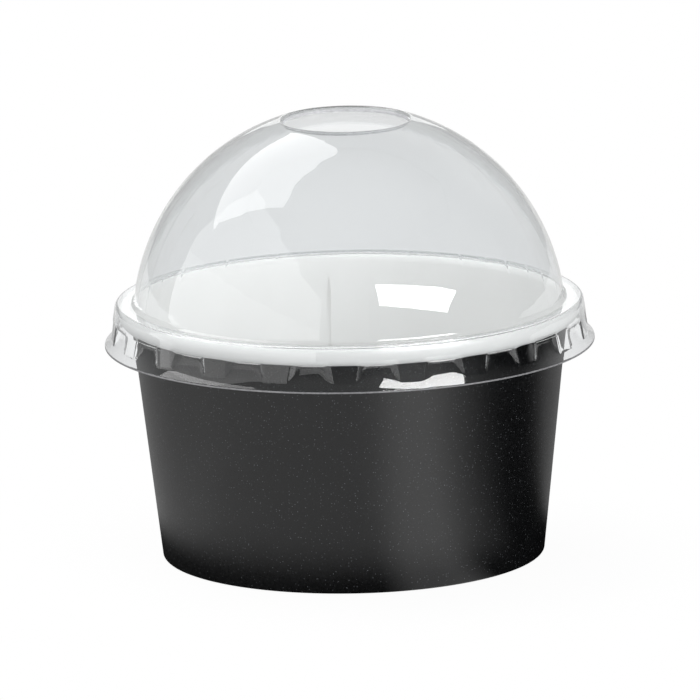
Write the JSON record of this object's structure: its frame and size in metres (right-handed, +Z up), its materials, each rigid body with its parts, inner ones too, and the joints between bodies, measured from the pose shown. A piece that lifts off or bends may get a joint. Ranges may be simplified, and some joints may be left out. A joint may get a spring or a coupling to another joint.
{
  "type": "paper dessert cup with dome lid",
  "caption": "Tapered black paper cup with a white rolled rim and recessed base, under a clear dome lid with an open top hole and a lugged snap skirt.",
  "frame": {"origin": "centre of the foot, on the surface that the cup stands on", "axes": "+Z up along the axis of the cup and lid, -Y towards the front, the wall's side seam at +Y"},
  "size_m": [0.0992, 0.0992, 0.0892],
  "materials": {
    "black_board": "matte",
    "white_board": "matte",
    "clear_plastic": "gloss"
  },
  "bodies": {
    "cup": {"cup_wall": "black_board", "cup_base": "white_board"},
    "lid": {"dome_lid": "clear_plastic"}
  },
  "joints": [
    {"name": "lid_lift", "type": "slide", "parent": "cup", "child": "lid", "axis": [0, 0, 1], "range_m": [0, 0.06]}
  ]
}
